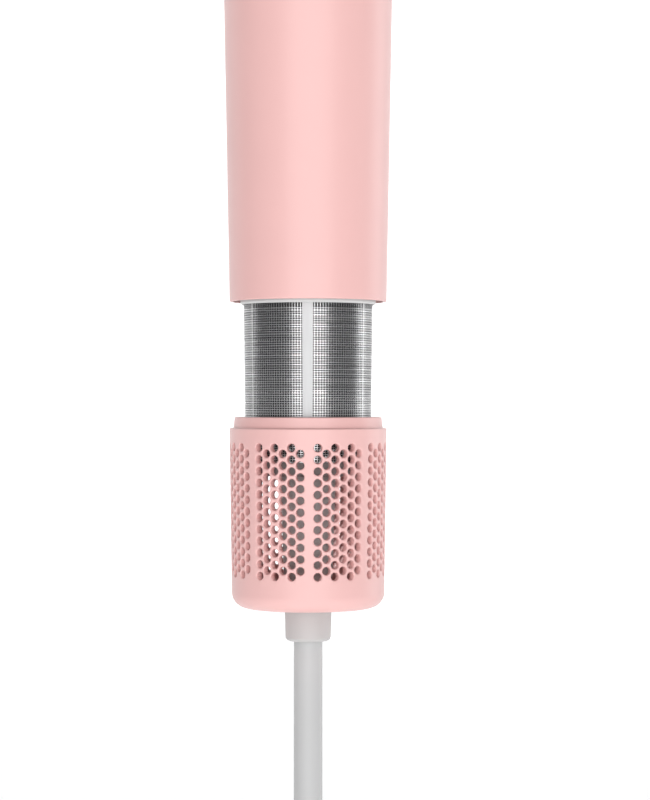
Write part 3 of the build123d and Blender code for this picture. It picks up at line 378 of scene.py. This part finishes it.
def unrolled_wall(centres, low, high, scale):
    """One group's wall as triangles of (angle, z), with its vents left open.

    scale is the millimetres of wall to a radian.
    """
    half = TURN / GROUPS / 2
    points = []
    edges = []
    loops = [wall_outline(half, low, high)]
    loops += [list(vent_ring(angle, z, RIM_R, scale)) for angle, z in centres]
    for loop in loops:
        first = len(points)
        points.extend(loop)
        edges.extend((first + i, first + (i + 1) % len(loop)) for i in range(len(loop)))
    for i in range(1, BORDER_STEPS):
        angle = -half + 2 * half * i / BORDER_STEPS
        for j in range(1, BORDER_STEPS):
            z = low + (high - low) * j / BORDER_STEPS
            near = min(math.hypot((angle - a) * scale, z - v) for a, v in centres)
            if near > RIM_R + VENT_MARGIN:
                points.append((angle, z))
    flat = [Vector((angle * scale, z)) for angle, z in points]
    verts, _, faces, _, _, _ = delaunay_2d_cdt(flat, edges, [], 0, SAME_POINT)
    kept = []
    for face in faces:
        middle = sum((verts[i] for i in face), Vector((0, 0))) / len(face)
        gaps = [math.hypot(middle.x - a * scale, middle.y - v) for a, v in centres]
        if all(gap > RIM_R * INSIDE_RIM for gap in gaps):
            kept.append([(verts[i].x / scale, verts[i].y) for i in face])
    return kept


def upper_profile(shoulder, base):
    """From the top of the straight side over the shoulder and the lip, and down the bore."""
    high = shoulder - EDGE_R
    lip_top = shoulder + LIP_HEIGHT
    profile = [(cover_radius(high, shoulder, base), high)]
    profile += corner((COVER_TOP_R - EDGE_R, high), EDGE_R, SHOULDER_START, 90, steps=4)
    profile += [(LIP_BASE_R + out, shoulder + up) for out, up in LIP_FOOT]
    profile += corner((LIP_TOP_R - EDGE_R, lip_top - EDGE_R), EDGE_R, 0, 90, steps=4)
    profile += corner((LIP_BORE_R + EDGE_R, lip_top - EDGE_R), EDGE_R, 90, 180, steps=4)
    profile += [(LIP_BORE_R, shoulder), (cover_radius(high, shoulder, base) - COVER_WALL, high)]
    return profile


def lower_profile(shoulder, base):
    """From the foot of the bore over the floor, through the cord's hole and round the base."""
    low = base + COVER_CORNER_R
    floor = base + COVER_FLOOR
    inner_corner = (COVER_BASE_R - COVER_WALL - COVER_INNER_CORNER_R, floor + COVER_INNER_CORNER_R)
    profile = [(cover_radius(low, shoulder, base) - COVER_WALL, low)]
    profile += corner(inner_corner, COVER_INNER_CORNER_R, 0, -90, steps=5)
    profile += [(COVER_BORE_R + BORE_EDGE, floor), (COVER_BORE_R, floor - BORE_EDGE)]
    profile += [(COVER_BORE_R, base + BORE_EDGE), (COVER_BORE_R + BORE_EDGE_MIDDLE, base + BORE_EDGE_MIDDLE)]
    profile += [(COVER_BORE_R + BORE_EDGE, base)]
    profile += corner((COVER_BASE_R - COVER_CORNER_R, low), COVER_CORNER_R, -90, BASE_CORNER_END, steps=10)
    profile += [(cover_radius(low, shoulder, base), low)]
    return profile


def make_cover():
    """The perforated cover: a thick wall with round-edged vents, a stepped lip and a round base."""
    base = cover_low.z / MM
    shoulder = cover_high.z / MM - LIP_HEIGHT
    scale = (COVER_TOP_R + COVER_BASE_R) / 2
    centres = list(vent_centres(shoulder))
    welder = Welder()

    def on_wall(angle, z, depth):
        return around(cover_radius(z, shoulder, base) - depth, angle, z)

    sheet = unrolled_wall(centres, base + COVER_CORNER_R, shoulder - EDGE_R, scale)
    vent_steps = VENT_EDGE + [(radius, COVER_WALL - depth) for radius, depth in reversed(VENT_EDGE)]
    for group in range(GROUPS):
        middle = TURN * (group + 0.5) / GROUPS + VENT_TURN
        for triangle in sheet:
            welder.face([on_wall(middle + angle, z, 0.0) for angle, z in triangle])
            welder.face([on_wall(middle + angle, z, COVER_WALL) for angle, z in reversed(triangle)])
        for angle, z in centres:
            rings = [
                [on_wall(middle + a, v, depth) for a, v in vent_ring(angle, z, radius, scale)]
                for radius, depth in vent_steps
            ]
            for outer, inner in zip(rings, rings[1:]):
                for side in range(HOLE_SIDES):
                    after = (side + 1) % HOLE_SIDES
                    welder.face([outer[side], outer[after], inner[after], inner[side]])
    steps = GROUPS * BORDER_STEPS
    lathe(welder, upper_profile(shoulder, base), steps, VENT_TURN)
    lathe(welder, lower_profile(shoulder, base), steps, VENT_TURN)
    piece = new_piece("cover_shell", "cover", "pink_shell", welder.verts, welder.faces, "filter_cover")
    weigh_normals(piece)


make_cover()

# --- mesh filter ----------------------------------------------------------------------------
MESH_COLUMNS = 146
MESH_ROW_PITCH = 0.587
MESH_BAR = 0.15
MESH_TOP_R = 16.45
MESH_BASE_R = 15.9
MESH_SHEET = 0.12
UNDER_COLLAR = 0.8  # the sheet is plain from this far below the rim upwards, behind the collar
FIRST_BAR = 1.35  # below the plain part
SEAM_COLUMNS = 2  # left without holes to each side of the middle of the seam strip
SHADE_SHEET_DEPTH = 0.32  # a dark sheet inside the steel sheet, painted shade for the filter's dark inside
SHADE_SHEET_END = 0.1  # the painted-shade sheet and the lines stop short of the steel sheet's ends
RIBS = 6
RIB_LINE = 0.8
RIB_LINE_PROUD = 0.06
RIB_LINE_END = 0.2
mesh_top = mesh_high.z / MM
mesh_base = mesh_low.z / MM


def mesh_levels():
    """Heights of the sheet's rows of vertices, from the top: the edges of its plain ends and of each bar."""
    hidden = rim_z / MM - UNDER_COLLAR
    levels = [mesh_top, hidden]
    z = hidden - FIRST_BAR
    while z > mesh_base + MESH_ROW_PITCH:
        levels += [z + MESH_BAR / 2, z - MESH_BAR / 2]
        z -= MESH_ROW_PITCH
    return levels + [mesh_base + MESH_BAR, mesh_base]


def make_mesh():
    """The etched steel sheet: square holes between even bars, rolled into a slightly conical tube."""
    levels = mesh_levels()
    step = TURN / MESH_COLUMNS
    bar = MESH_BAR / MESH_TOP_R
    angles = []
    for column in range(MESH_COLUMNS):
        angles += [(column - 0.5) * step - bar / 2, (column - 0.5) * step + bar / 2]
    verts = []
    for level in levels:
        radius = MESH_BASE_R + (MESH_TOP_R - MESH_BASE_R) * (level - mesh_base) / (mesh_top - mesh_base)
        verts += [around(radius, angle, level) for angle in angles]
    wide = len(angles)
    faces = []
    for row in range(len(levels) - 1):
        between_bars = row % 2 and 0 < row < len(levels) - 2
        for column in range(wide):
            seam = min(column // 2, MESH_COLUMNS - column // 2) < SEAM_COLUMNS
            if between_bars and column % 2 and not seam:
                continue
            a = row * wide + column
            b = row * wide + (column + 1) % wide
            faces.append([a, a + wide, b + wide, b])
    piece = new_piece("mesh_sheet", "handle", "mesh_steel", verts, faces, "filter_mesh")
    thicken = piece.modifiers.new("sheet", "SOLIDIFY")
    thicken.thickness = MESH_SHEET * MM
    thicken.offset = -1.0
    piece.data.shade_flat()


def make_shade_sheet():
    """A dark sheet of painted shade inside the steel sheet, which keeps its holes dark."""
    shade_sheet = Welder()
    foot = (MESH_BASE_R - SHADE_SHEET_DEPTH, mesh_base + SHADE_SHEET_END)
    head = (MESH_TOP_R - SHADE_SHEET_DEPTH, mesh_top - SHADE_SHEET_END)
    lathe(shade_sheet, [foot, head], MESH_COLUMNS)
    new_piece("mesh_shade_sheet", "handle", "component_black", shade_sheet.verts, shade_sheet.faces)


def make_rib_lines():
    """Narrow light lines on the dark painted-shade sheet, in line with the filter's ribs."""
    lines = Welder()
    base_r, top_r = [radius - SHADE_SHEET_DEPTH + RIB_LINE_PROUD for radius in (MESH_BASE_R, MESH_TOP_R)]
    half = RIB_LINE / 2 / MESH_BASE_R
    for rib in range(RIBS):
        angle = TURN * rib / RIBS
        low = [around(base_r, angle + side * half, mesh_base + RIB_LINE_END) for side in (-1, 1)]
        high = [around(top_r, angle + side * half, mesh_top - RIB_LINE_END) for side in (1, -1)]
        lines.face(low + high)
    new_piece("rib_lines", "handle", "white_frame", lines.verts, lines.faces)


make_mesh()
# painted shade: a dark sheet inside the steel mesh darkens what its holes show
make_shade_sheet()
make_rib_lines()


# --- rounded plates, bands and rings --------------------------------------------------------
def rounded_loop(half_u, half_v, radius, steps=5):
    """A rectangle with rounded corners as (u, v) pairs, counter-clockwise."""
    points = []
    for index, (u, v) in enumerate([(1, 1), (-1, 1), (-1, -1), (1, -1)]):
        centre = (u * (half_u - radius), v * (half_v - radius))
        points += corner(centre, radius, 90 * index, 90 * index + 90, steps)
    return points


def skin(welder, rings, closed=False):
    """Joins a run of rings, and either caps its two ends or joins the last to the first."""
    pairs = list(zip(rings, rings[1:]))
    if closed:
        pairs.append((rings[-1], rings[0]))
    else:
        welder.face(list(reversed(rings[0])))
        welder.face(rings[-1])
    for first, second in pairs:
        for side in range(len(first)):
            after = (side + 1) % len(first)
            welder.face([first[side], first[after], second[after], second[side]])


# --- bristle strips -------------------------------------------------------------------------
BRISTLE_ROWS = 8
BRISTLES_PER_ROW = 16
BRISTLE_PITCH = 6.2
BARREL_R = 17.0
STRIP_WIDTH = 3.2
STRIP_CORNER = 0.8
# (out from the barrel, inset): up the side of a strip, which starts inside the barrel and stands proud
STRIP_SIDE = [(-0.9, 0.0), (0.3, 0.0), (0.5, 0.1), (0.6, 0.3)]
BRISTLE_SIDES = 10
# (out from the barrel, radius): a bristle's flared foot, its taper and its ball tip
BRISTLE_SHAPE = [(0.5, 1.05), (0.75, 0.72), (1.2, 0.6), (5.1, 0.38), (5.4, 0.42), (5.6, 0.54), (5.9, 0.6)]
BRISTLE_SHAPE += [(6.2, 0.54), (6.42, 0.33), (6.5, 0.08)]


def beside_row(angle, across, z, out):
    """A point across and out from the barrel's surface, where a row of bristles stands at an angle."""
    reach = BARREL_R + out
    x = reach * math.sin(angle) + across * math.cos(angle)
    y = -reach * math.cos(angle) + across * math.sin(angle)
    return (x, y, z)


def make_bristles():
    """Eight moulded strips, each with a row of ball-tipped bristles."""
    low = strip_low.z / MM
    high = strip_high.z / MM
    middle = (low + high) / 2
    turns = [TURN * side / BRISTLE_SIDES for side in range(BRISTLE_SIDES)]
    welder = Welder()
    for row in range(BRISTLE_ROWS):
        angle = TURN * row / BRISTLE_ROWS
        rings = []
        for out, inset in STRIP_SIDE:
            loop = rounded_loop(STRIP_WIDTH / 2 - inset, (high - low) / 2 - inset, STRIP_CORNER - inset)
            rings.append([beside_row(angle, u, middle + v, out) for u, v in loop])
        skin(welder, rings)
        for index in range(BRISTLES_PER_ROW):
            z = middle + BRISTLE_PITCH * (index - (BRISTLES_PER_ROW - 1) / 2)
            skin(welder, [
                [beside_row(angle, radius * math.cos(a), z + radius * math.sin(a), out) for a in turns]
                for out, radius in BRISTLE_SHAPE
            ])
    new_piece("bristle_rows", "brush", "bristle_nylon", welder.verts, welder.faces, "bristle_strips")


make_bristles()

# --- tie strap ------------------------------------------------------------------------------
STRAP = 0.9  # thickness
STRAP_EDGE = 0.25
STRAP_CORNER = 6.0
FLAP = 0.6  # thickness of the loose end
FLAP_MARGIN = 0.4  # the loose end is this much narrower on each side
FLAP_CORNER = 1.6
# (out from the strap, inset): up the side of the loose end
FLAP_SIDE = [(0.0, 0.0), (FLAP - 0.2, 0.0), (FLAP, 0.25)]


def make_tie():
    """A woven strap round the hank's waist, with its loose end lapped over the front."""
    centre_x = (tie_low.x + tie_high.x) / 2 / MM
    centre_y = (tie_low.y + tie_high.y) / 2 / MM
    half_x = (tie_high.x - tie_low.x) / 2 / MM - FLAP
    half_y = (tie_high.y - tie_low.y) / 2 / MM - FLAP
    low = tie_low.z / MM
    high = tie_high.z / MM
    welder = Welder()
    section = [(0.0, low + STRAP_EDGE), (0.0, high - STRAP_EDGE)]
    section += [(STRAP_EDGE, high), (STRAP - STRAP_EDGE, high)]
    section += [(STRAP, high - STRAP_EDGE), (STRAP, low + STRAP_EDGE)]
    section += [(STRAP - STRAP_EDGE, low), (STRAP_EDGE, low)]
    rings = []
    for inset, z in section:
        loop = rounded_loop(half_x - inset, half_y - inset, STRAP_CORNER - inset, steps=8)
        rings.append([(centre_x + u, centre_y + v, z) for u, v in loop])
    skin(welder, rings, closed=True)
    flap_x = half_x - STRAP_CORNER
    flap_z = (high - low) / 2 - FLAP_MARGIN
    flap = []
    for out, inset in FLAP_SIDE:
        loop = rounded_loop(flap_x - inset, flap_z - inset, FLAP_CORNER - inset)
        flap.append([(centre_x + u, centre_y - half_y - out, (low + high) / 2 + v) for u, v in loop])
    skin(welder, flap)
    piece = new_piece("tie_strap", "cord", "tie_grey", welder.verts, welder.faces, "cord_tie")
    weigh_normals(piece)


make_tie()

# --- plug -----------------------------------------------------------------------------------
PLUG_R = 17.6
PLUG_FLAT = 12.8  # from the axis to each flat
PLUG_GRIP = 18.0  # height of the grip
PLUG_SHOULDER_R = 2.2
# (rise, inset): the edge of the face that the pins stand on
FACE_EDGE = [(0.0, 1.0), (0.3, 0.3), (1.0, 0.0)]
GRIP_LINES = 4
GRIP_FIRST = 5.0
GRIP_PITCH = 2.4
# (rise, inset): one finger groove
GRIP_GROOVE = [(0.0, 0.0), (0.4, 0.5), (0.9, 0.5), (1.3, 0.0)]
NECK_BASE_R = 12.2
NECK_TOP_R = 5.2
NECK_FLAT = PLUG_FLAT - 1.5
NECK_RIBS = 6
NECK_RIB = 1.7
NECK_GROOVE = 1.5
NECK_STEP = 0.3  # height of a groove's sloping side
GROOVE_DEPTH = 1.0
# (below the top, out from the neck's top radius): the neck's rounded end
NECK_END = [(0.8, 0.1), (0.2, -0.3), (0.0, -0.9)]
PLUG_SIDES = 96


def plug_ring(radius, flat, z, centre_y):
    """One level of the plug: a circle cut by two flats."""
    ring = []
    for side in range(PLUG_SIDES):
        turn = TURN * side / PLUG_SIDES
        y = max(-flat, min(flat, radius * math.sin(turn)))
        ring.append((radius * math.cos(turn), centre_y + y, z))
    return ring


def make_plug():
    """The moulded plug: a grip with finger grooves, and a neck of soft ribs that lets the cord bend."""
    centre_y = (tail_low.y + tail_high.y) / 2 / MM
    face = plug_low.z / MM
    top = plug_high.z / MM
    shoulder = face + PLUG_GRIP
    levels = [(PLUG_R - inset, PLUG_FLAT - inset, face + rise) for rise, inset in FACE_EDGE]
    for line in range(GRIP_LINES):
        z = face + GRIP_FIRST + GRIP_PITCH * line
        levels += [(PLUG_R - inset, PLUG_FLAT - inset, z + rise) for rise, inset in GRIP_GROOVE]
    for out, z in corner((0, shoulder - PLUG_SHOULDER_R), PLUG_SHOULDER_R, 0, 90):
        levels.append((PLUG_R - PLUG_SHOULDER_R + out, PLUG_FLAT - PLUG_SHOULDER_R + out, z))
    levels.append((NECK_BASE_R, NECK_FLAT, shoulder))
    z = shoulder
    slope = (NECK_BASE_R - NECK_TOP_R) / (top - shoulder)
    rib_steps = [(NECK_RIB, 0.0), (NECK_STEP, GROOVE_DEPTH), (NECK_GROOVE, GROOVE_DEPTH), (NECK_STEP, 0.0)]
    for rise, depth in rib_steps * NECK_RIBS:
        z += rise
        levels.append((NECK_BASE_R - slope * (z - shoulder) - depth, NECK_FLAT, z))
    levels += [(NECK_TOP_R + out, PLUG_FLAT, top - below) for below, out in NECK_END]
    welder = Welder()
    skin(welder, [plug_ring(radius, flat, z, centre_y) for radius, flat, z in levels])
    piece = new_piece("plug_moulding", "cord", "boot_grey", welder.verts, welder.faces, "plug_body")
    weigh_normals(piece)


make_plug()

# --- mains cord -----------------------------------------------------------------------------
CORD_D = 7.3
FOLD_STEPS = 8
FOLD_SWEEP = 115  # degrees to each side of the fold's end
CURVE_OUTSET = 1.02  # the spline runs a little inside its control points
TURN_GAP = 1.03  # between an outer and an inner turn, in cord widths
EXIT_RUN = 30  # straight out of the strain relief
WAIST_RUN = 45  # straight on each side of the hank's waist
END_RUN = 12  # inside each end of the hank
FOLD_R = ((hank_high.x - hank_low.x) / 2 / MM - CORD_D / 2) * CURVE_OUTSET
FOLD_REACH = (hank_high.z - hank_low.z) / 2 / MM - CORD_D / 2
INNER_R = FOLD_R - CORD_D * TURN_GAP
WAIST_Z = (hank_low.z + hank_high.z) / 2 / MM
HANK_Y = (hank_low.y + hank_high.y) / 2 / MM
# each turn's radius, then in cord widths: its place front to back as it starts, for most of its way
# and as it ends, and its seat in the tie going up and going down
TURNS = [
    (INNER_R, -1.5, -0.5, -0.5, 0.5, 0.7),
    (FOLD_R, -0.5, -0.5, -0.65, 1.5, 1.6),
    (FOLD_R, 0.65, 0.5, 0.5, 1.5, 0.7),
    (INNER_R, 0.5, 0.5, 1.5, 0.5, 0.0),
]


def fold(radius, near, far, above):
    """Points round one end of the hank: left to right at the bottom, right to left at the top.

    near and far are its places front to back as it starts and ends, in cord widths from the hank's middle.
    """
    sign = 1 if above else -1
    centre = WAIST_Z + sign * (FOLD_REACH - FOLD_R)
    points = []
    for step in range(FOLD_STEPS + 1):
        part = step / FOLD_STEPS
        turn = math.radians(FOLD_SWEEP * (2 * part - 1))
        y = HANK_Y + (near + (far - near) * part) * CORD_D
        points.append((-sign * radius * math.sin(turn), y, centre + sign * radius * math.cos(turn)))
    return points


def seat(before, after, x):
    """The control point that leads the cord through the tie at x, midway between two folds."""
    fold_x = (before[0] + after[0]) / 2
    return (x - (fold_x - x) / 3, (before[1] + after[1]) / 2, WAIST_Z)


def cord_points():
    """Control points of the whole cord: straight down, four tied turns, and the tail to the plug."""
    exit_z = boot_low.z / MM
    tail_y = (tail_low.y + tail_high.y) / 2 / MM
    points = [(0, 0, exit_z), (0, 0, exit_z - EXIT_RUN), (0, 0, hank_high.z / MM - END_RUN)]
    points += [(0, 0, WAIST_Z + WAIST_RUN), (0, 0, WAIST_Z)]
    came_down = None
    for radius, start, place, end, up_seat, down_seat in TURNS:
        bottom = fold(radius, start, place, False)
        top = fold(radius, place, end, True)
        if came_down:
            points.append(seat(came_down[0], bottom[0], came_down[1]))
        points += bottom + [seat(bottom[-1], top[0], up_seat * CORD_D)] + top
        came_down = (top[-1], -down_seat * CORD_D)
    points += [(0, tail_y, WAIST_Z), (0, tail_y, WAIST_Z - WAIST_RUN)]
    points += [(0, tail_y, hank_low.z / MM + END_RUN), (0, tail_y, tail_low.z / MM)]
    return points


def make_cord():
    """The cord as one smooth spline with a round sheath."""
    points = cord_points()
    curve = bpy.data.curves.new("cord", "CURVE")
    curve.dimensions = "3D"
    spline = curve.splines.new("NURBS")
    spline.points.add(len(points) - 1)
    for control, point in zip(spline.points, points):
        control.co = (*[value * MM for value in point], 1)
    spline.order_u = 3
    spline.use_endpoint_u = True
    spline.resolution_u = 8
    curve.bevel_depth = CORD_D / 2 * MM
    curve.bevel_resolution = 8
    curve.use_fill_caps = True
    curve.materials.append(looks["cord_grey"])
    piece = bpy.data.objects.new("cord", curve)
    bpy.context.collection.objects.link(piece)
    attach(piece, "cord")
    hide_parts("cord_tube", "cord_hank", "cord_tail")
    return piece


cord = make_cord()

# --- stage and light ------------------------------------------------------------------------
bpy.context.scene.view_settings.view_transform = "Standard"
FLOOR_Z = pins_low.z - 2 * MM
STAGE_REACH = 14  # to the left, the right and the front
BACKDROP_Y = 4
BACKDROP_TOP = 8
FLOOR_GLOW = 0.52
BACKDROP_GLOW = 0.8


def stage_piece(name, verts, strength):
    """A plain white sheet that also glows a little, as a lit studio sweep does."""
    mesh = bpy.data.meshes.new(name)
    mesh.from_pydata(verts, [], [[0, 1, 2, 3]])
    material, shader, _ = new_material(name)
    shader.inputs["Base Color"].default_value = (0.9, 0.9, 0.9, 1)
    shader.inputs["Roughness"].default_value = 0.9
    shader.inputs["Emission Color"].default_value = (1, 1, 1, 1)
    shader.inputs["Emission Strength"].default_value = strength
    mesh.materials.append(material)
    sheet = bpy.data.objects.new(name, mesh)
    bpy.context.collection.objects.link(sheet)


back_left = (-STAGE_REACH, BACKDROP_Y, FLOOR_Z)
back_right = (STAGE_REACH, BACKDROP_Y, FLOOR_Z)
front_left = (-STAGE_REACH, -STAGE_REACH, FLOOR_Z)
front_right = (STAGE_REACH, -STAGE_REACH, FLOOR_Z)
top_left = (-STAGE_REACH, BACKDROP_Y, BACKDROP_TOP)
top_right = (STAGE_REACH, BACKDROP_Y, BACKDROP_TOP)
stage_piece("floor", [front_left, front_right, back_right, back_left], FLOOR_GLOW)
stage_piece("backdrop", [back_left, back_right, top_right, top_left], BACKDROP_GLOW)


def area_light(name, place, size, power, aim=(0, 0, -0.1)):
    """A rectangular soft light aimed at the object: size in metres, power in watts."""
    light = bpy.data.lights.new(name, "AREA")
    light.shape = "RECTANGLE"
    light.size, light.size_y = size
    light.energy = power
    lamp = bpy.data.objects.new(name, light)
    lamp.location = place
    lamp.rotation_euler = (Vector(aim) - Vector(place)).to_track_quat("-Z", "Y").to_euler()
    bpy.context.collection.objects.link(lamp)


area_light("key", (0.05, -0.95, 0.0), (1.15, 1.5), 10.5)
area_light("right_side", (1.5, 0.6, 0.0), (0.8, 1.8), 5.5)

world = bpy.data.worlds.new("studio")
world.use_nodes = True
world.node_tree.nodes["Background"].inputs["Color"].default_value = (0.92, 0.94, 1.0, 1)
world.node_tree.nodes["Background"].inputs["Strength"].default_value = 0.1
bpy.context.scene.world = world
